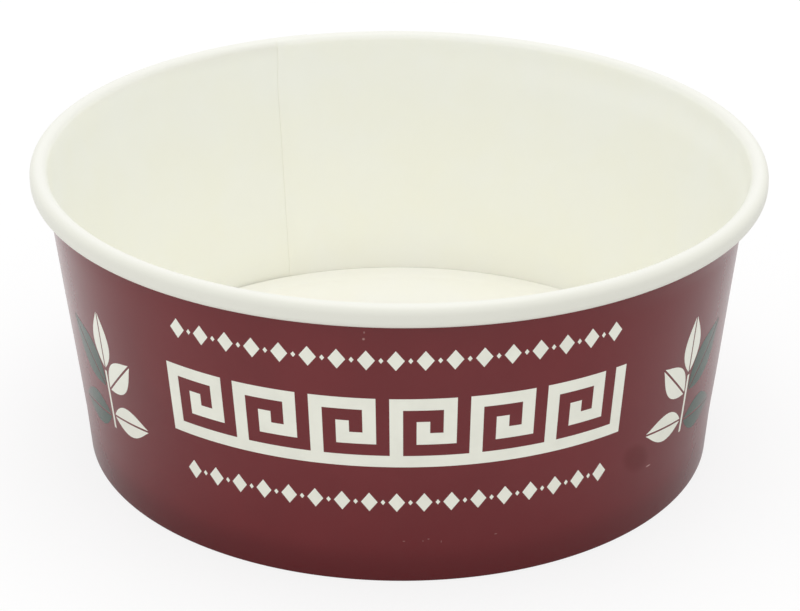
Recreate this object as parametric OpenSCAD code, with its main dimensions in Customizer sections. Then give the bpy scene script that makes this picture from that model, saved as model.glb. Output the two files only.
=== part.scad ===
// Paper dessert cup: a wide, low cup of coated board, 62 mm high, with a
// 150 mm rolled rim, a side seam and a folded foot that grips the floor.
//
// Millimetres; origin on the table at the middle of the foot, +Z up.
// The side of the print that faces the viewer faces -Y.
//
// It is made of two pieces, as the real cup is. The side wall is one blank,
// printed on its outer face, wrapped round with a lapped seam, rolled outwards
// into the rim and folded inwards at the foot. The floor is a pressed disc
// whose skirt is gripped in that fold.
//
// Both cross-sections are chains of straight runs and bends of the board, so
// that each bend keeps the board's thickness and meets the next run smoothly.
// The lap is true: the half turn behind the seam swells by one board, with the
// rest of the wall truly round, so the wall passes over its own start.

/* [Cup] */
// Outer diameter of the rolled rim
rim_d = 150; // [110:1:180]
// Outer diameter of the wall, run down to the table
foot_d = 131; // [90:1:150]
// Height over the rim
cup_h = 62; // [45:1:110]
// Thickness of the board of both pieces
board_t = 0.4; // [0.3:0.05:0.5]

/* [Rolled rim] */
// Width of the roll, wall included
roll_w = 3.6; // [3.2:0.1:4.5]
// Height of the roll
roll_h = 4.5; // [4:0.1:6]
// Outer radius of the last bend, where the edge tucks in under the roll
tuck_r = 1; // [0.9:0.05:1.1]
// Straight end of the blank inside the roll
tuck_len = 1; // [0.2:0.1:1.2]

/* [Side seam] */
// Direction of the seam's raw inner edge about +Z, from +X
seam_angle = 113; // [91:1:179]
// Width of the lap at the foot
lap_w = 7; // [4:0.5:12]
// How far the two plies are pressed into each other
lap_bite = 0.02; // [0.01:0.01:0.03]

/* [Foot] */
// Length of the fold's inner ply above the bottom bend
fold_len = 5.4; // [4:0.1:5.8]
// Clearance on each face of the skirt in the fold
skirt_play = 0.02; // [0.01:0.01:0.05]
// Gap between the skirt's lower edge and the bottom of the fold
skirt_gap = 0.1; // [0.1:0.05:0.5]

/* [Floor] */
// Height of the floor's upper face above the table
floor_z = 7.2; // [7.2:0.1:10]
// Outer radius where the floor bends down into its skirt
floor_r = 1; // [0.8:0.1:1.2]

/* [Colours] */
// Printed outer face of the wall
print_colour = "#6b3638"; // [#6b3638:Brownish red, #2e4f3e:Dark green, #2b3a55:Dark blue]
// Bare inner face of the wall, also seen on the roll
board_colour = "#f3f0e4"; // [#f3f0e4:Cream, #fbfbf8:White, #b08d5f:Brown]
// Floor
floor_colour = "#f6f4e8"; // [#f6f4e8:Cream, #fbfbf8:White, #b08d5f:Brown]

/* [Hidden] */
$fn = 180;
// Largest turn of a bend between two points of a section
bend_step = 15;

// Centre of the roll's upper bend
roll_x = rim_d / 2 - roll_w / 2;
roll_z = cup_h - roll_w / 2;
// Radius of the roll on the printed face, which is inside it
roll_r = roll_w / 2 - board_t;

// Lean of the wall from upright, from the foot to a tangent on the roll
lean = acos(roll_r / norm([roll_x - foot_d / 2, roll_z])) - atan2(roll_z, roll_x - foot_d / 2);

// The fold bends round its inner face, so its outer radius is the board's own
bend_r = board_t;
// Across the fold: two plies of the wall, the skirt and its play
fold_w = 3 * board_t + 2 * skirt_play;
// Centres of the two bottom bends, under the wall and under the inner ply
bend_out_x = foot_d / 2 - bend_r * (1 - sin(lean)) / cos(lean);
bend_in_x = foot_d / 2 - (fold_w - bend_r * (1 + sin(lean))) / cos(lean);
// Flat bottom of the fold, on which the cup stands
flat_w = bend_out_x - bend_in_x;

// Straight run of the wall, from the bottom bend to the roll
wall_len = (roll_x - bend_out_x) * sin(lean) + (roll_z - bend_r) * cos(lean);

// Swell of the outer ply at the seam, measured across the cup
swell = board_t - lap_bite;
// Angle that the lap spans
lap_angle = lap_w / (foot_d / 2) * 180 / PI;

// Centre of the bend at the floor's edge, and the skirt's straight run below it
floor_bend_z = floor_z - floor_r;
floor_bend_x = foot_d / 2 + (floor_bend_z * sin(lean) - board_t - skirt_play - floor_r) / cos(lean);
skirt_len = (floor_bend_z - floor_r * sin(lean) - board_t - skirt_gap) / cos(lean);

// Depth of the print: the outer half of the board carries its colour
print_t = board_t / 2;

// The board as chains of [straight length, turn to the left, bend radius, printed],
// where the radius is that of the face on the right, which carries the print.
fold_steps = [[fold_len, 90 + lean, bend_r, true]];
flat_steps = [[flat_w, 0, 0, true]];
corner_steps = [[flat_w, 90 - lean, bend_r, true]];
wall_steps = [[wall_len, 0, 0, true]];
roll_steps = [
    [0, lean - 180, roll_r, false],
    [roll_h - roll_w, -90, roll_r, false],
    [0, -90, tuck_r - board_t, false],
    [tuck_len, 0, 0, false]
];
floor_steps = [
    [floor_bend_x, -90 - lean, floor_r - board_t, false],
    [skirt_len, 0, 0, false]
];

// Free end of the fold's inner ply, where the blank's section starts, and the
// lower end of the wall's straight run
fold_end = [bend_in_x, bend_r] + bend_r * [-cos(lean), sin(lean)] + fold_len * [sin(lean), cos(lean)];
wall_foot = [bend_out_x, bend_r] + bend_r * [cos(lean), -sin(lean)];

// Unit vector to the left of a heading
function left(heading) = [-sin(heading), cos(heading)];

// Points of the board from p onwards, at depth d under its right-hand face, or
// at depth d_printed where it is printed
function trace(steps, d, d_printed, p, heading, i = 0) =
    i == len(steps) ? [] :
    let (
        turn = steps[i][1],
        printed = steps[i][3],
        depth = printed ? d_printed : d,
        r = sign(turn) * steps[i][2],
        corner = p + steps[i][0] * [cos(heading), sin(heading)],
        centre = corner + r * left(heading),
        parts = abs(depth - r) < 0.001 ? 0 : ceil(abs(turn) / bend_step),
        is_new = steps[i][0] > 0 || (i > 0 && printed != steps[i - 1][3])
    )
    concat(
        [for (k = [0:parts]) if (k > 0 || is_new)
            centre + (depth - r) * left(heading + turn * k / max(parts, 1))],
        trace(steps, d, d_printed, centre - r * left(heading + turn), heading + turn, i + 1)
    );

// Section between two such lines of points, with the start of the chain
module ply(steps, p, heading, near, near_printed, far) {
    start = steps[0][3] ? near_printed : near;
    near_face = concat([p + start * left(heading)], trace(steps, near, near_printed, p, heading));
    far_face = concat([p + far * left(heading)], trace(steps, far, far, p, heading));
    polygon(concat(near_face, [for (k = [len(far_face) - 1:-1:0]) far_face[k]]));
}

// The bare board of a chain, less its printed half
module bare(steps, p, heading) {
    ply(steps, p, heading, 0, print_t, board_t);
}

// The printed half of a chain
module printed(steps, p, heading) {
    ply([for (step = steps) if (step[3]) step], p, heading, 0, 0, print_t);
}

// Part of a turn about +Z of a section drawn in X and Y
module turned(from, sweep) {
    rotate([0, 0, from]) rotate_extrude(angle = sweep) children();
}

// The same from the seam onwards, swollen by one board there and by nothing
// opposite, or with a side of -1 back from the seam
module swollen(side, sweep) {
    rotate([0, 0, seam_angle]) translate([swell / 2, 0, 0])
        mirror([0, side < 0 ? 1 : 0, 0]) rotate_extrude(angle = sweep) translate([swell / 2, 0]) children();
}

// A section of the blank carried round the cup, as its printed or its bare layer
module layer(is_print, steps, p, heading) {
    if (is_print) printed(steps, p, heading);
    else bare(steps, p, heading);
}

// One layer of the whole blank, as folded, rolled and lapped
module blank(is_print) {
    down = -90 - lean;
    turned(seam_angle - 180, 180)
        layer(is_print, concat(fold_steps, corner_steps, wall_steps, roll_steps), fold_end, down);
    turned(seam_angle, 180)
        layer(is_print, concat(fold_steps, flat_steps), fold_end, down);
    swollen(1, 180)
        layer(is_print, concat(corner_steps, wall_steps, roll_steps), [bend_in_x, 0], 0);
    swollen(-1, lap_angle)
        layer(is_print, wall_steps, wall_foot, 90 - lean);
}

// One piece of board, rolled into the rim and folded in at the foot
module side_wall() {
    color(print_colour) blank(true);
    color(board_colour) blank(false);
}

// Pressed floor: its skirt hangs inside the fold, parallel to the wall
module base_disc() {
    color(floor_colour) rotate_extrude() bare(floor_steps, [0, floor_z - board_t], 0);
}

side_wall();
base_disc();
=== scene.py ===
import math

import bmesh
import bpy
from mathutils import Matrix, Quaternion, Vector


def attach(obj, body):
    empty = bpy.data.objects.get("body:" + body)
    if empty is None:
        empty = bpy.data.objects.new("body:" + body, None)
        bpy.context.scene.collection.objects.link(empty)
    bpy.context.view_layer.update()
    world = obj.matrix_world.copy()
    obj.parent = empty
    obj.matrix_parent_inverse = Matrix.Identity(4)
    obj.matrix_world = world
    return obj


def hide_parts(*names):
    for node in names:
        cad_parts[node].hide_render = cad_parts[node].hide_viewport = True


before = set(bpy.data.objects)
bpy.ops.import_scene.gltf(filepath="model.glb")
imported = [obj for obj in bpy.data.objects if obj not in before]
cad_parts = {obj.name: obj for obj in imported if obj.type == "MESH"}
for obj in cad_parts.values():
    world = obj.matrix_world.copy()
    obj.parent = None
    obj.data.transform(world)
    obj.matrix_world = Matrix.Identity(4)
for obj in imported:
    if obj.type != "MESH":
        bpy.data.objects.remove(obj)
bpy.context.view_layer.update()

# Camera. The cup was photographed from in front and 25 degrees above with a
# long lens, and the camera leaned by less than half a degree.
MM = 0.001
LOOK_AT = Vector((0, 0, 30 * MM))
ELEVATION = math.radians(25.23)
DISTANCE = 520.9 * MM
CAMERA_LEAN = math.radians(0.42)
FOCAL_PX = 2482.7
IMAGE_W, IMAGE_H = 800, 611
AXIS_X, AXIS_Y = 398.3, 291.7
SENSOR_W = 36
NEAREST, FURTHEST = 0.01, 20


def link(name, data):
    """An object of that camera, lamp or mesh, in the scene."""
    made = bpy.data.objects.new(name, data)
    bpy.context.scene.collection.objects.link(made)
    return made


camera_data = bpy.data.cameras.new("camera")
camera_data.sensor_width = SENSOR_W
camera_data.lens = FOCAL_PX / IMAGE_W * SENSOR_W
camera_data.shift_x = (IMAGE_W / 2 - AXIS_X) / IMAGE_W
camera_data.shift_y = (AXIS_Y - IMAGE_H / 2) / IMAGE_W
camera_data.clip_start, camera_data.clip_end = NEAREST, FURTHEST
away = Vector((0, -math.cos(ELEVATION), math.sin(ELEVATION)))
upright = (-away).to_track_quat("-Z", "Y")
camera = link("camera", camera_data)
camera.location = LOOK_AT + away * DISTANCE
camera.rotation_mode = "QUATERNION"
camera.rotation_quaternion = upright @ Quaternion((0, 0, 1), CAMERA_LEAN)
bpy.context.scene.camera = camera


# Studio. A white sweep of paper under soft, even light from all round, with one
# large soft lamp overhead, a little behind the cup. The paper looks plain white,
# but throws a little less light back on the cup, and least of all at the right.
WHITE, BLACK = (1, 1, 1, 1), (0, 0, 0, 1)
SKY_LIGHT = 0.84
PAPER_GREY, PAPER_GLOW, PAPER_HALF = (0.86, 0.86, 0.86, 1), 0.8, 6
DIM, DIM_FROM, DIM_TO = 0.14, 40 * MM, 85 * MM
LAMP_AT, LAMP_WIDE, LAMP_WATTS = Vector((0.02, 0.1, 1.15)), 0.9, 3.45


class Value:
    """One socket of a node tree, so that sums on it are written as expressions."""

    def __init__(self, nodes, socket):
        self.nodes, self.socket = nodes, socket

    def math(self, operation, *others):
        return self.nodes.add("ShaderNodeMath", {"operation": operation}, dict(enumerate((self, *others))))

    def __add__(self, other):
        return self.math("ADD", other)

    def __sub__(self, other):
        return self.math("SUBTRACT", other)

    def __rsub__(self, other):
        return (self - other) * -1

    def __mul__(self, other):
        return self.math("MULTIPLY", other)

    def __truediv__(self, other):
        return self.math("DIVIDE", other)

    def __rtruediv__(self, other):
        return self.math("POWER", -1) * other

    __radd__, __rmul__ = __add__, __mul__

    def ramp(self, low, high):
        """0 below low, 1 above high, and a smooth rise between."""
        return self.nodes.add("ShaderNodeMapRange", {"interpolation_type": "SMOOTHSTEP"},
                              {"Value": self, "From Min": low, "From Max": high})


class Nodes:
    """A node tree under construction, empty at first."""

    def __init__(self, tree):
        self.tree = tree
        tree.nodes.clear()

    def add(self, kind, settings=None, sockets=None, out=0):
        """Adds one node with its settings, then its sockets' values or links."""
        node = self.tree.nodes.new(kind)
        for name, value in (settings or {}).items():
            setattr(node, name, value)
        for key, value in (sockets or {}).items():
            if isinstance(value, Value):
                self.tree.links.new(value.socket, node.inputs[key])
            else:
                node.inputs[key].default_value = value
        return Value(self, node.outputs[out]) if node.outputs else None

    def split(self, vector):
        """The X, Y and Z of a vector."""
        parts = self.add("ShaderNodeSeparateXYZ", sockets={0: vector}).socket.node
        return [Value(self, part) for part in parts.outputs]


def material(name):
    """A material with an empty node tree, and that tree's Nodes."""
    made = bpy.data.materials.new(name)
    made.use_nodes = True
    return made, Nodes(made.node_tree)


def surface(nodes, shader):
    """Ends a material in its surface."""
    nodes.add("ShaderNodeOutputMaterial", sockets={"Surface": shader})


def here(nodes):
    """The place on the piece, in metres."""
    return nodes.add("ShaderNodeTexCoord", out="Object")


def blend_colour(nodes, share, first, second, way="MIX"):
    """first where share is 0, and second blended with it in that way where it is 1."""
    return nodes.add("ShaderNodeMix", {"data_type": "RGBA", "blend_type": way},
                     {0: share, 6: first, 7: second}, out=2)


def looked_at(nodes):
    """1 where the camera looks, and 1 where it looks straight or by a reflection."""
    seen = nodes.add("ShaderNodeLightPath", out="Is Camera Ray")
    mirrored = nodes.add("ShaderNodeLightPath", out="Is Glossy Ray")
    return seen, seen.math("MAXIMUM", mirrored)


world = bpy.data.worlds.new("studio")
world.use_nodes = True
bpy.context.scene.world = world
sky = Nodes(world.node_tree)
_, shown = looked_at(sky)
glow = sky.add("ShaderNodeBackground", sockets={
    "Color": WHITE, "Strength": SKY_LIGHT + shown * (1 - SKY_LIGHT)})
sky.add("ShaderNodeOutputWorld", sockets={"Surface": glow})

paper, n = material("studio paper")
seen, shown = looked_at(n)
to_right, _, _ = n.split(here(n))
tone = blend_colour(n, shown, PAPER_GREY, WHITE)
tone = blend_colour(n, to_right.ramp(DIM_FROM, DIM_TO) * DIM * (1 - seen), tone, BLACK)
matt = n.add("ShaderNodeBsdfDiffuse", sockets={"Color": tone})
white = n.add("ShaderNodeEmission", sockets={"Color": WHITE, "Strength": 1.0})
surface(n, n.add("ShaderNodeMixShader", sockets={0: seen * PAPER_GLOW, 1: matt, 2: white}))

sweep = bmesh.new()
bmesh.ops.create_grid(sweep, x_segments=1, y_segments=1, size=PAPER_HALF)
floor_mesh = bpy.data.meshes.new("floor")
sweep.to_mesh(floor_mesh)
sweep.free()
floor_mesh.materials.append(paper)
floor = link("floor", floor_mesh)

lamp_data = bpy.data.lights.new("top lamp", "AREA")
lamp_data.shape = "DISK"
lamp_data.size = LAMP_WIDE
lamp_data.energy = LAMP_WATTS
lamp = link("top lamp", lamp_data)
lamp.location = LAMP_AT
lamp.rotation_euler = (LOOK_AT - LAMP_AT).to_track_quat("-Z", "Y").to_euler()

bpy.context.scene.view_settings.view_transform = "Standard"


# Side wall. One blank of coated board, printed outside: folded in at the foot
# round the floor's skirt, lapped and glued at the side seam, and rolled outwards
# into the rim, so the roll shows the bare inner face of the board.
RIM_R = 74.98 * MM
CUP_H = 61.99 * MM
FOOT_R = 65.5 * MM
BOARD_T = 0.4 * MM
ROLL_W, ROLL_H = 3.6 * MM, 4.5 * MM
TUCK_R, TUCK_LEN = 1.0 * MM, 1.0 * MM
FOLD_R, FOLD_LEN, FOLD_W = 0.42 * MM, 4.9 * MM, 1.24 * MM
SEAM, LAP = math.radians(113), 7 * MM / FOOT_R
SWELL, SWELL_TURN = 0.38 * MM, math.radians(75)
PRESSED, PRESS_TURN = 0.62, math.radians(2.6)
FOLD_STEPS, WALL_STEPS, ROLL_STEPS, SIDE_STEPS, TUCK_STEPS = 8, 56, 22, 10, 6
COLUMNS = 360
SHARP = math.radians(50)

roll_x, roll_z = RIM_R - ROLL_W / 2, CUP_H - ROLL_W / 2
roll_r = ROLL_W / 2 - BOARD_T
LEAN = math.acos(roll_r / math.hypot(roll_x - FOOT_R, roll_z)) - math.atan2(roll_z, roll_x - FOOT_R)
UP = Vector((math.sin(LEAN), math.cos(LEAN)))
OUT = Vector((math.cos(LEAN), -math.sin(LEAN)))
fold_out = Vector((FOOT_R - FOLD_R * (1 + OUT.y) / OUT.x, FOLD_R))
fold_in = Vector((FOOT_R - (FOLD_W - FOLD_R * (1 - OUT.y)) / OUT.x, FOLD_R))


def bend(centre, radius, start, turn, steps):
    """Points of an arc in the section, angles in degrees from the outward axis."""
    angles = [math.radians(start + turn * i / steps) for i in range(steps + 1)]
    return [centre + radius * Vector((math.cos(a), math.sin(a))) for a in angles]


def run(start, end, steps):
    """Points of a straight run in the section, without its ends."""
    return [start.lerp(end, i / steps) for i in range(1, steps)]


lean_deg = math.degrees(LEAN)
roll_top = Vector((roll_x, roll_z))
roll_low = roll_top - Vector((0, ROLL_H - ROLL_W))
tuck_top = Vector((roll_x, roll_low.y - ROLL_W / 2 + TUCK_R))
section = [fold_in - OUT * FOLD_R + UP * FOLD_LEN]
section += bend(fold_in, FOLD_R, 180 - lean_deg, 90 + lean_deg, FOLD_STEPS)
section += bend(fold_out, FOLD_R, 270, 90 - lean_deg, FOLD_STEPS)
section += run(section[-1], roll_top - OUT * roll_r, WALL_STEPS)
section += bend(roll_top, roll_r, 180 - lean_deg, lean_deg - 180, ROLL_STEPS)
section += bend(roll_low, roll_r, 0, -90, SIDE_STEPS)
section += bend(tuck_top, TUCK_R - BOARD_T, 270, -90, TUCK_STEPS)[1:]
section += [section[-1] + Vector((0, TUCK_LEN))]


def bake(obj):
    """Turns what the modifiers make of obj into its plain mesh."""
    graph = bpy.context.evaluated_depsgraph_get()
    made = bpy.data.meshes.new_from_object(obj.evaluated_get(graph), depsgraph=graph)
    obj.modifiers.clear()
    obj.data = made


def apply_tree(obj, tree, values):
    """Runs a geometry tree on obj with its named inputs, and leaves a plain mesh."""
    modifier = obj.modifiers.new(tree.name, "NODES")
    modifier.node_group = tree
    for item in tree.interface.items_tree:
        if item.in_out == "INPUT" and item.name in values:
            modifier[item.identifier] = values[item.name]
    bake(obj)


def geometry_tree(name, **inputs):
    """A geometry tree with those inputs: its Nodes, its mesh and its input values."""
    kinds = {float: "NodeSocketFloat", int: "NodeSocketInt", bpy.types.Material: "NodeSocketMaterial"}
    tree = bpy.data.node_groups.new(name, "GeometryNodeTree")
    tree.interface.new_socket("Geometry", in_out="INPUT", socket_type="NodeSocketGeometry")
    tree.interface.new_socket("Geometry", in_out="OUTPUT", socket_type="NodeSocketGeometry")
    for key, kind in inputs.items():
        tree.interface.new_socket(key.replace("_", " "), in_out="INPUT", socket_type=kinds[kind])
    nodes = Nodes(tree)
    source = tree.nodes.new("NodeGroupInput")
    values = {key: Value(nodes, source.outputs[key.replace("_", " ")]) for key in inputs}
    return nodes, Value(nodes, source.outputs["Geometry"]), values


def finish_tree(nodes, mesh, stuff):
    """Ends a geometry tree in real, painted geometry."""
    real = nodes.add("GeometryNodeRealizeInstances", sockets={"Geometry": mesh})
    painted = nodes.add("GeometryNodeSetMaterial", sockets={"Geometry": real, "Material": stuff})
    nodes.add("NodeGroupOutput", sockets={"Geometry": painted})
    return nodes.tree


def round_cup(nodes, azimuth, radius, height):
    """The point at that azimuth, radius and height."""
    return nodes.add("ShaderNodeCombineXYZ", sockets={
        "X": radius * azimuth.math("COSINE"),
        "Y": radius * azimuth.math("SINE"),
        "Z": height})


def swelling(turn, swell):
    """How far the blank lies outwards after that turn from its inner edge, which
    is itself pressed into the ply behind it."""
    over_start = turn.ramp(2 * math.pi - SWELL_TURN, 2 * math.pi)
    past_edge = turn.ramp(0.0, PRESS_TURN)
    return swell * (over_start + PRESSED - PRESSED * past_edge)


def wrap_tree():
    """Wraps the blank's section round the cup, over its own start at the seam."""
    nodes, section_mesh, given = geometry_tree(
        "wrap the blank", Columns=int, Rows=int, Seam=float, Lap=float, Swell=float,
        Material=bpy.types.Material)
    grid = nodes.add("GeometryNodeMeshGrid", sockets={
        "Size X": 1.0, "Size Y": 1.0, "Vertices X": given["Columns"], "Vertices Y": given["Rows"]})
    along, across, _ = nodes.split(nodes.add("GeometryNodeInputPosition"))
    row = ((across + 0.5) * (given["Rows"] - 1)).math("ROUND")
    turn = (along + 0.5) * (given["Lap"] + 2 * math.pi)
    point = nodes.add("GeometryNodeSampleIndex", {"data_type": "FLOAT_VECTOR"}, {
        "Geometry": section_mesh, "Value": nodes.add("GeometryNodeInputPosition"), "Index": row})
    swells = nodes.add("GeometryNodeInputNamedAttribute", {"data_type": "FLOAT"}, {"Name": "swells"})
    share = nodes.add("GeometryNodeSampleIndex", {"data_type": "FLOAT"}, {
        "Geometry": section_mesh, "Value": swells, "Index": row})
    radius, _, height = nodes.split(point)
    radius = radius + share * swelling(turn, given["Swell"])
    placed = nodes.add("GeometryNodeSetPosition", sockets={
        "Geometry": grid, "Position": round_cup(nodes, given["Seam"] - turn, radius, height)})
    outward = nodes.add("GeometryNodeFlipFaces", sockets={"Mesh": placed})
    return finish_tree(nodes, outward, given["Material"])


# The photographed cup is out of true: the wall is drawn in by the In lengths at
# the foot, above the crimped band and at the neck, stands off the rim's axis by
# the X and Y lengths, and wanders a little above the band
UNTRUE = {
    "Foot X": 0.2 * MM, "Foot Y": -0.86 * MM, "Neck X": -0.49 * MM,
    "Foot In": 0.21 * MM, "Band In": 0.45 * MM, "Neck In": 0.1 * MM,
    "Height": CUP_H, "Band": 9.6 * MM, "Neck": 4 * MM, "Neck Fade": 1.6,
    "Wander": 0.16 * MM, "Size": 45 * MM, "Fade": 14 * MM}


def untrue_tree():
    """Takes a piece out of true. The rim stays round, and so does the wall for one
    Neck below it."""
    nodes, mesh, given = geometry_tree("out of true", **{key.replace(" ", "_"): float for key in UNTRUE})
    position = nodes.add("GeometryNodeInputPosition")
    _, _, height = nodes.split(position)
    noise = nodes.add("ShaderNodeTexNoise", {"noise_dimensions": "3D"}, {
        "Vector": position, "Scale": 1 / given["Size"], "Detail": 1.0, "Roughness": 0.4})
    under_roll = ((given["Height"] - height) / given["Neck"] - 1).ramp(0.0, given["Neck_Fade"])
    above_band = ((height - given["Band"]) / given["Fade"]).ramp(0.0, 1.0)
    up_band = (height / given["Band"]).math("MINIMUM", 1.0)
    up_wall = (height - given["Band"]).math("MAXIMUM", 0.0) / (given["Height"] - given["Band"])
    drawn = given["Foot_In"] + up_band * (given["Band_In"] - given["Foot_In"])
    drawn = drawn + up_wall * (given["Neck_In"] - given["Band_In"])
    outward = ((noise - 0.5) * 2 * given["Wander"] * above_band - drawn) * under_roll
    radial = nodes.add("ShaderNodeVectorMath", {"operation": "MULTIPLY"}, {0: position, 1: (1, 1, 0)})
    unit = nodes.add("ShaderNodeVectorMath", {"operation": "NORMALIZE"}, {0: radial})
    bulge = nodes.add("ShaderNodeVectorMath", {"operation": "SCALE"}, {0: unit, "Scale": outward})
    rise = height / given["Height"]
    aside = nodes.add("ShaderNodeCombineXYZ", sockets={
        "X": (given["Foot_X"] * (1 - rise) + given["Neck_X"] * rise) * under_roll,
        "Y": given["Foot_Y"] * (1 - rise) * under_roll})
    offset = nodes.add("ShaderNodeVectorMath", {"operation": "ADD"}, {0: bulge, 1: aside})
    moved = nodes.add("GeometryNodeSetPosition", sockets={"Geometry": mesh, "Offset": offset})
    nodes.add("NodeGroupOutput", sockets={"Geometry": moved})
    return nodes.tree


untrue = untrue_tree()


def srgb(red, green, blue):
    """A colour given in the 0 to 255 steps of a screen, as the shader's linear one."""
    parts = [c / 255 for c in (red, green, blue)]
    return (*[c / 12.92 if c <= 0.04045 else ((c + 0.055) / 1.055) ** 2.4 for c in parts], 1)


# The red of the print, and a darker red that is painted shade towards the foot, near the floor
PRINT_RED, PRINT_DARK, FOOT_SHADE_RED = srgb(112, 35, 39), srgb(107, 32, 36), srgb(98, 27, 31)
FOOT_SHADE_LOW, FOOT_SHADE_HIGH = 3.2 * MM, 9.4 * MM
PRINT_CLOUDS, PRINT_GRAIN, PRINT_BUMP = 22 * MM, 0.7 * MM, 0.004 * MM
VARNISH_ROUGH, VARNISH_UNEVEN = 0.2, 0.08
CLOUD_LOW, CLOUD_HIGH = 0.3, 0.7
DENT_SHADE_RED, NICK_PINK, MARK_CORE = srgb(97, 2, 8), srgb(196, 158, 152), 0.05

# Marks, lengths in mm, as strength, azimuth in degrees, height, half width, half height
# and fall to the right: painted shade where a shallow dent low on the right reflects less,
# and nicks of handling in it, under the rim and on the foot's band, which bare some board
DENT_SHADE = (0.9, -46.6, 17.7, 5.2, 3.9, 0.33)
NICKS = [
    (0.85, -42.8, 14.2, 1.0, 0.18, 0.0),
    (0.6, -95.0, 53.9, 0.34, 0.3, 0.0),
    (0.4, -94.9, 55.3, 0.2, 0.3, 0.0),
    (0.3, -88.8, 9.3, 0.34, 0.16, 0.0),
    (0.3, -85.7, 9.3, 0.16, 0.2, 0.0),
    (0.35, -84.8, 9.7, 0.3, 0.14, 0.0),
    (0.3, -82.7, 9.0, 0.14, 0.34, 0.0),
    (0.35, -73.6, 9.5, 0.42, 0.13, 0.0)]

# Bare board: its cream by radius over the floor, up the wall and over the roll. The floor
# is painted lighter towards its edge and lightest in its corner with the wall, as painted
# light against the shade there; the roll is painted greyer, and darker down its outer side,
# as painted shade
FLOOR_CREAM, FLOOR_EDGE_LIGHT = srgb(238, 237, 231), srgb(247, 246, 239)
CORNER_LIGHT, NECK_CREAM = srgb(254, 254, 245), srgb(247, 248, 241)
RIM_CREST_SHADE, RIM_SIDE_SHADE = srgb(239, 239, 231), srgb(235, 235, 224)
FLOOR_MID_R, FLOOR_EDGE_R, CORNER_R = 35 * MM, 64 * MM, 65.8 * MM
INSIDE_R, CREST_IN, CREST_OUT, SIDE_R = 71.4 * MM, 72 * MM, 73.2 * MM, 74.7 * MM
CLOUD_WARM = (1, 0.996, 0.97, 1)
BOARD_CLOUDS, BOARD_GRAIN, BOARD_BUMP = 16 * MM, 0.5 * MM, 0.006 * MM
BOARD_ROUGH, BOARD_UNEVEN = 0.42, 0.1
EDGE_CREAM, EDGE_WARM = srgb(246, 244, 233), srgb(248, 247, 237)
FIBRE, FIBRE_BUMP = 0.12 * MM, 0.02 * MM


def speckle(nodes, point, scale):
    """Noise from 0 to 1 whose grains are scale metres across."""
    return nodes.add("ShaderNodeTexNoise", {"noise_dimensions": "3D"}, {
        "Vector": point, "Scale": 1 / scale, "Detail": 3.0, "Roughness": 0.55})


def bumped(nodes, height, distance):
    """A normal bent by a height from 0 to 1 that stands distance metres."""
    return nodes.add("ShaderNodeBump", sockets={"Height": height, "Distance": distance, "Strength": 1.0})


def oval(azimuth, height, mark):
    """The mark's strength in its middle, falling to 0 at its outline."""
    strength, turn, level, wide, tall, fall = mark
    across = (azimuth - math.radians(turn)) * RIM_R
    up = (height - level * MM + across * fall) / (tall * MM)
    across = across / (wide * MM)
    return strength - (across * across + up * up).ramp(MARK_CORE, 1.0) * strength


def varnished(nodes, colour, point):
    """Ends a material in satin varnish over that colour, as on all the print."""
    grain = speckle(nodes, point, PRINT_GRAIN)
    surface(nodes, nodes.add("ShaderNodeBsdfPrincipled", sockets={
        "Base Color": colour,
        "Roughness": VARNISH_ROUGH + (grain - 0.5) * VARNISH_UNEVEN,
        "IOR": 1.38,
        "Sheen Weight": 0.2,
        "Sheen Roughness": 0.3,
        "Normal": bumped(nodes, grain, PRINT_BUMP)}))


print_skin, n = material("brownish red print")
point = here(n)
x, y, height = n.split(point)
azimuth = y.math("ARCTAN2", x)
clouds = speckle(n, point, PRINT_CLOUDS).ramp(CLOUD_LOW, CLOUD_HIGH)
red = blend_colour(n, clouds, PRINT_RED, PRINT_DARK)
# Painted shade: the print darker towards the foot, near the floor
red = blend_colour(n, height.ramp(FOOT_SHADE_LOW, FOOT_SHADE_HIGH), FOOT_SHADE_RED, red)
# Painted shade: a darker red where a shallow dent low on the right reflects less
red = blend_colour(n, oval(azimuth, height, DENT_SHADE), red, DENT_SHADE_RED)
for nick in NICKS:
    red = blend_colour(n, oval(azimuth, height, nick), red, NICK_PINK)
varnished(n, red, point)

bare_board, n = material("bare cream board")
point = here(n)
x, y, _ = n.split(point)
radius = (x * x + y * y).math("SQRT")
clouds = speckle(n, point, BOARD_CLOUDS).ramp(CLOUD_LOW, CLOUD_HIGH)
grain = speckle(n, point, BOARD_GRAIN)
# Painted light: lighter towards the floor's edge and in the corner with the wall
cream = blend_colour(n, radius.ramp(FLOOR_MID_R, FLOOR_EDGE_R), FLOOR_CREAM, FLOOR_EDGE_LIGHT)
cream = blend_colour(n, radius.ramp(FLOOR_EDGE_R, CORNER_R), cream, CORNER_LIGHT)
cream = blend_colour(n, radius.ramp(CORNER_R, INSIDE_R), cream, NECK_CREAM)
cream = blend_colour(n, clouds, cream, CLOUD_WARM, "MULTIPLY")
# Painted shade: greyer over the roll's crest and darker down its outer side
cream = blend_colour(n, radius.ramp(INSIDE_R, CREST_IN), cream, RIM_CREST_SHADE)
cream = blend_colour(n, radius.ramp(CREST_OUT, SIDE_R), cream, RIM_SIDE_SHADE)
surface(n, n.add("ShaderNodeBsdfPrincipled", sockets={
    "Base Color": cream,
    "Roughness": BOARD_ROUGH + (grain - 0.5) * BOARD_UNEVEN,
    "IOR": 1.45,
    "Normal": bumped(n, grain, BOARD_BUMP)}))

cut_edge, n = material("cut edge of the board")
fibres = speckle(n, here(n), FIBRE)
surface(n, n.add("ShaderNodeBsdfPrincipled", sockets={
    "Base Color": blend_colour(n, fibres, EDGE_CREAM, EDGE_WARM),
    "Roughness": 0.9,
    "Normal": bumped(n, fibres, FIBRE_BUMP)}))

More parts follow.
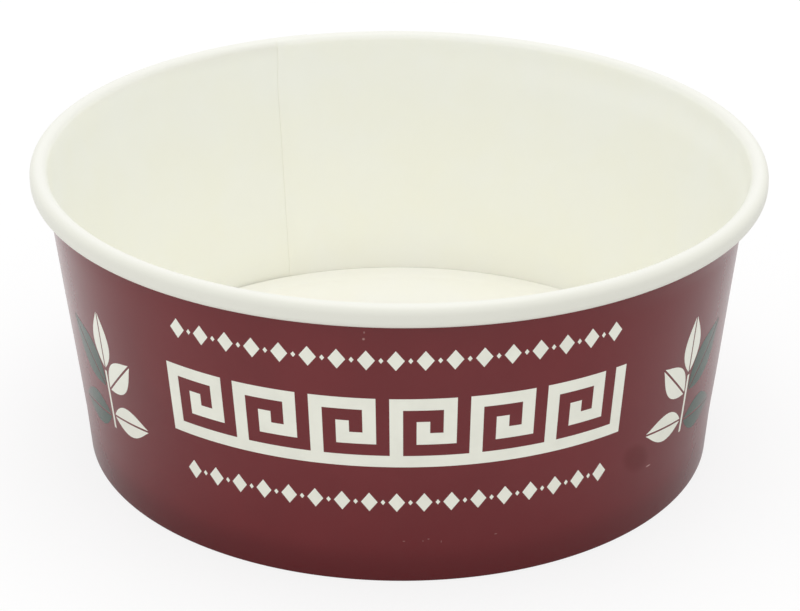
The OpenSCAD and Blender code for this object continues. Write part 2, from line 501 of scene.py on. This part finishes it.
strip = bpy.data.meshes.new("blank section")
strip.from_pydata([(p.x, 0, p.y) for p in section], [(i, i + 1) for i in range(len(section) - 1)], [])
# The fold's inner ply stays round, and only the wall outside it swells at the lap
swells = strip.attributes.new("swells", "FLOAT", "POINT")
fold_middle = (fold_in.x + fold_out.x) / 2
swells.data.foreach_set("value", [0.0 if p.x < fold_middle else 1.0 for p in section])

side_wall = link("side_wall_board", strip)
apply_tree(side_wall, wrap_tree(), {
    "Columns": COLUMNS, "Rows": len(section), "Seam": SEAM, "Lap": LAP, "Swell": SWELL,
    "Material": print_skin})
side_wall.data.materials.append(bare_board)
side_wall.data.materials.append(cut_edge)
thicken = side_wall.modifiers.new("board", "SOLIDIFY")
thicken.thickness = BOARD_T
thicken.offset = -1
thicken.use_even_offset = True
thicken.material_offset = 1
thicken.material_offset_rim = 2
bake(side_wall)
apply_tree(side_wall, untrue, UNTRUE)
side_wall.data.shade_smooth()
side_wall.data.set_sharp_from_angle(angle=SHARP)
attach(side_wall, "root")
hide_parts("side_wall")


# Floor. A pressed disc of the same board with a rounded edge, whose skirt hangs
# in the fold of the wall. Pressing leaves a shallow ring just inside the edge,
# and the disc sits low in the fold, a little lower at the left than at the right.
FLOOR_Z, FLOOR_R = 6.2 * MM, 0.55 * MM
FLOOR_TILT = 0.3 / 66
SKIRT_PLAY, SKIRT_GAP = 0.02 * MM, 0.1 * MM
RING_R, RING_DEEP, RING_W = 60 * MM, 0.12 * MM, 1.6 * MM
MIDDLE_RINGS, DIP_RINGS, EDGE_STEPS, LAST_RING = 14, 6, 9, 1.2 * MM
DISC_COLUMNS, DISC_WELD = 240, 0.002 * MM

floor_bend = Vector((0, FLOOR_Z - FLOOR_R))
floor_bend.x = FOOT_R + (floor_bend.y * math.sin(LEAN) - BOARD_T - SKIRT_PLAY - FLOOR_R) / math.cos(LEAN)
rings = [i / MIDDLE_RINGS * RING_R for i in range(1, MIDDLE_RINGS)]
rings += [RING_R + RING_W * i / DIP_RINGS for i in range(-DIP_RINGS, DIP_RINGS + 1)]
rings = sorted(r for r in rings + [floor_bend.x - LAST_RING] if r < floor_bend.x)
face = [Vector((0, FLOOR_Z))]
for r in rings:
    dip = max(1 - abs(r - RING_R) / RING_W, 0)
    face.append(Vector((r, FLOOR_Z - RING_DEEP * dip * dip * (3 - 2 * dip))))
under = [p - Vector((0, BOARD_T)) for p in face]


def skirted(points, radius):
    """Those points with the rounded edge at that radius, and the skirt below it."""
    points = points + bend(floor_bend, radius, 90, -90 - lean_deg, EDGE_STEPS)
    drop = points[-1].y - BOARD_T - SKIRT_GAP
    return points + [points[-1] - UP * (drop / UP.y)]


disc = bmesh.new()
outline = skirted(face, FLOOR_R) + skirted(under, FLOOR_R - BOARD_T)[::-1]
outline = [disc.verts.new((p.x, 0, p.y)) for p in outline]
edges = [disc.edges.new(pair) for pair in zip(outline, outline[1:])]
bmesh.ops.spin(disc, geom=outline + edges, cent=(0, 0, 0), axis=(0, 0, 1), angle=2 * math.pi,
               steps=DISC_COLUMNS)
bmesh.ops.remove_doubles(disc, verts=disc.verts, dist=DISC_WELD)
bmesh.ops.recalc_face_normals(disc, faces=disc.faces)
for v in disc.verts:
    v.co.z += FLOOR_TILT * v.co.x * v.co.z / FLOOR_Z
disc_mesh = bpy.data.meshes.new("floor disc")
disc.to_mesh(disc_mesh)
disc.free()
disc_mesh.materials.append(bare_board)
disc_mesh.shade_smooth()
disc_mesh.set_sharp_from_angle(angle=SHARP)
base_disc = link("floor_disc", disc_mesh)
apply_tree(base_disc, untrue, UNTRUE)
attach(base_disc, "root")
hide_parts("base_disc")


# Key band. A running key pattern in cream ink across the front. The inks are
# printed on the flat blank before it is wrapped, each as a film on the red, and
# the satin varnish goes over them too.
INK_T, INK_LIFT, INK_WELD = 0.06 * MM, 0.02 * MM, 0.01 * MM
INK_CREAM, INK_GREEN = srgb(245, 246, 233), srgb(32, 68, 54)
INK_CLOUDS, INK_CLOUD_LOW, INK_CLOUD_HIGH, INK_DARKER = 6 * MM, 0.35, 0.75, 0.95
FRONT = math.radians(-90)
MIDDLE_R = FOOT_R + 33 * MM * math.tan(LEAN)
KEY_CELL, KEY_LOW = 2.5 * MM, 26.2 * MM
KEY_BARS, KEY_PITCH, CELL_QUADS = 7, 6, 2
# One upright bar of the key and what reaches from it to the next bar, in cells as
# left, low, right and high
KEY_UNIT = [(0, 0, 1, 6), (1, 0, 6, 1), (1, 5, 5, 6), (4, 2, 5, 5), (2, 2, 4, 3), (2, 3, 3, 4)]


def lay_tree():
    """Repeats flat ink on either side of the front, leaves off what lies beyond the
    reach, and lays it on the wall: X is the arc from the front, Y the height."""
    nodes, unit, given = geometry_tree(
        "lay the ink", Copies=int, Pitch=float, Reach=float, Foot=float, Slope=float, Middle=float,
        Front=float, Seam=float, Swell=float, Lift=float, Material=bpy.types.Material)
    first = nodes.add("ShaderNodeCombineXYZ", sockets={"X": given["Pitch"] * (given["Copies"] - 1) / -2})
    step = nodes.add("ShaderNodeCombineXYZ", sockets={"X": given["Pitch"]})
    places = nodes.add("GeometryNodeMeshLine", sockets={
        "Count": given["Copies"], "Start Location": first, "Offset": step})
    copies = nodes.add("GeometryNodeInstanceOnPoints", sockets={"Points": places, "Instance": unit})
    flat = nodes.add("GeometryNodeRealizeInstances", sockets={"Geometry": copies})
    arc, height, _ = nodes.split(nodes.add("GeometryNodeInputPosition"))
    kept = nodes.add("GeometryNodeDeleteGeometry", {"domain": "FACE"}, {
        "Geometry": flat, "Selection": arc.math("GREATER_THAN", given["Reach"])})
    welded = nodes.add("GeometryNodeMergeByDistance", sockets={"Geometry": kept, "Distance": INK_WELD})
    azimuth = arc / given["Middle"] + given["Front"]
    turn = given["Seam"] - azimuth
    radius = given["Foot"] + height * given["Slope"] + given["Lift"] + swelling(turn, given["Swell"])
    laid = nodes.add("GeometryNodeSetPosition", sockets={
        "Geometry": welded, "Position": round_cup(nodes, azimuth, radius, height)})
    return finish_tree(nodes, laid, given["Material"])


lay = lay_tree()


def ink_material(name, colour):
    """An ink under the same varnish as the red, a little uneven in its tone."""
    made, n = material(name)
    point = here(n)
    clouds = speckle(n, point, INK_CLOUDS).ramp(INK_CLOUD_LOW, INK_CLOUD_HIGH)
    darker = [c * INK_DARKER for c in colour[:3]] + [1]
    varnished(n, blend_colour(n, clouds, colour, darker), point)
    return made


def add_patch(sheet, point, columns, rows):
    """A patch of quads whose corners are point(u, v), with u and v from 0 to 1."""
    corners = [[sheet.verts.new((*point(i / columns, j / rows), 0)) for i in range(columns + 1)]
               for j in range(rows + 1)]
    for low, high in zip(corners, corners[1:]):
        for i in range(columns):
            sheet.faces.new((low[i], low[i + 1], high[i + 1], high[i]))


def add_block(sheet, corner, right, up, columns, rows):
    """A patch with straight sides, from its lowest corner along right and up."""
    def point(u, v):
        return corner + right * u + up * v
    add_patch(sheet, point, columns, rows)


def print_ink(name, sheet, ink, copies=1, pitch=0.0, length=2 * math.pi * MIDDLE_R):
    """Welds a flat sheet of patches, lays its copies on the wall and gives them a body."""
    bmesh.ops.remove_doubles(sheet, verts=sheet.verts, dist=INK_WELD)
    bmesh.ops.dissolve_degenerate(sheet, edges=sheet.edges, dist=INK_WELD / 2)
    bmesh.ops.recalc_face_normals(sheet, faces=sheet.faces)
    for f in sheet.faces:
        if f.normal.z < 0:
            f.normal_flip()
    mesh = bpy.data.meshes.new(name)
    sheet.to_mesh(mesh)
    sheet.free()
    piece = link(name, mesh)
    apply_tree(piece, lay, {
        "Copies": copies, "Pitch": pitch, "Reach": length / 2, "Foot": FOOT_R, "Slope": math.tan(LEAN),
        "Middle": MIDDLE_R, "Front": FRONT, "Seam": SEAM, "Swell": SWELL, "Lift": INK_LIFT,
        "Material": ink})
    body = piece.modifiers.new("film", "SOLIDIFY")
    body.thickness = INK_T
    body.offset = -1
    bake(piece)
    apply_tree(piece, untrue, UNTRUE)
    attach(piece, "root")


cream_ink = ink_material("cream ink", INK_CREAM)
key = bmesh.new()
for left, low, right, high in KEY_UNIT:
    corner = Vector(((left - 0.5) * KEY_CELL, KEY_LOW + low * KEY_CELL))
    across = Vector(((right - left) * KEY_CELL, 0))
    up = Vector((0, (high - low) * KEY_CELL))
    add_block(key, corner, across, up, CELL_QUADS * (right - left), CELL_QUADS * (high - low))
key_cells = KEY_PITCH * (KEY_BARS - 1) + 1
print_ink("key_band", key, cream_ink, KEY_BARS, KEY_PITCH * KEY_CELL, key_cells * KEY_CELL)


# Lozenge rows. One row of lozenges below the key band and one above it, with a
# small dot between every two, in the same cream ink.
LOZENGE_W, LOZENGE_H, LOZENGE_PITCH = 3.2 * MM, 4.2 * MM, 5.3 * MM
LOZENGES, DOT_W, DOT_H, LOZENGE_QUADS = 17, 0.9 * MM, 1.2 * MM, 4
ROW_HEIGHTS = [18.2 * MM, 49.4 * MM]

rows = bmesh.new()
for height in ROW_HEIGHTS:
    for middle, wide, tall in ((0, LOZENGE_W, LOZENGE_H), (LOZENGE_PITCH / 2, DOT_W, DOT_H)):
        corner = Vector((middle, height - tall / 2))
        to_right, to_left = Vector((wide / 2, tall / 2)), Vector((-wide / 2, tall / 2))
        add_block(rows, corner, to_right, to_left, LOZENGE_QUADS, LOZENGE_QUADS)
row_length = LOZENGE_PITCH * (LOZENGES - 1) + LOZENGE_W
print_ink("lozenge_rows", rows, cream_ink, LOZENGES, LOZENGE_PITCH, row_length)


# Sprigs. One at either side of the front: a cream stem with five almond leaves,
# two of them green and three cream. What each ink prints is a piece of its own.
SPRIG_ARC, SPRIG_LOW = 68 * MM, 17.5 * MM
STEM_H, STEM_W, STEM_GAP, STEM_QUADS = 13 * MM, 0.7 * MM, 0.5 * MM, 10
LEAF_L, LEAF_W, VEIN_W, LEAF_QUADS = 12.5 * MM, 6.2 * MM, 0.45 * MM, (12, 3)
LEAF_FROM, LEAF_TO, LEAF_SWING, LEAF_LEAST = 0.02, 0.98, 0.85, 0.05 * MM
# Leaves as ink, side (1 away from the front, -1 towards it), height on the stem,
# lean and size
LEAVES = [
    ("green", 1, 2.4, 96, 1.2),
    ("cream", -1, 3.2, 84, 1),
    ("green", 1, 9.2, 50, 1.35),
    ("cream", -1, 9.2, 46, 1),
    ("cream", 1, 13.6, 0, 1)]


def add_half_leaf(sheet, foot, along, aside, size):
    """Half an almond leaf from its foot, beside a midrib that is left bare."""
    def point(u, v):
        t = LEAF_FROM + (LEAF_TO - LEAF_FROM) * u
        inner = VEIN_W / 2
        outer = max(size * LEAF_W / 2 * math.sin(math.pi * t ** LEAF_SWING), inner + LEAF_LEAST)
        return foot + along * t * size * LEAF_L + aside * (inner + (outer - inner) * v)
    add_patch(sheet, point, *LEAF_QUADS)


inks = {"cream": cream_ink, "green": ink_material("dark green ink", INK_GREEN)}
for side_name, side in (("left", -1), ("right", 1)):
    sheets = {"cream": bmesh.new(), "green": bmesh.new()}
    stem_foot = Vector((side * SPRIG_ARC, SPRIG_LOW))
    stem_corner = stem_foot - Vector((STEM_W / 2, 0))
    add_block(sheets["cream"], stem_corner, Vector((STEM_W, 0)), Vector((0, STEM_H)), 1, STEM_QUADS)
    for ink, way, height, angle, size in LEAVES:
        outward = way * side
        lean = math.radians(angle) * outward
        along = Vector((math.sin(lean), math.cos(lean)))
        aside = Vector((along.y, -along.x))
        off_stem = outward * (STEM_W / 2 + STEM_GAP) if angle else 0
        foot = stem_foot + Vector((off_stem, height * MM))
        for half in (-aside, aside):
            add_half_leaf(sheets[ink], foot, along, half, size)
    for ink, sheet in sheets.items():
        print_ink(f"sprig_{ink}_{side_name}", sheet, inks[ink])
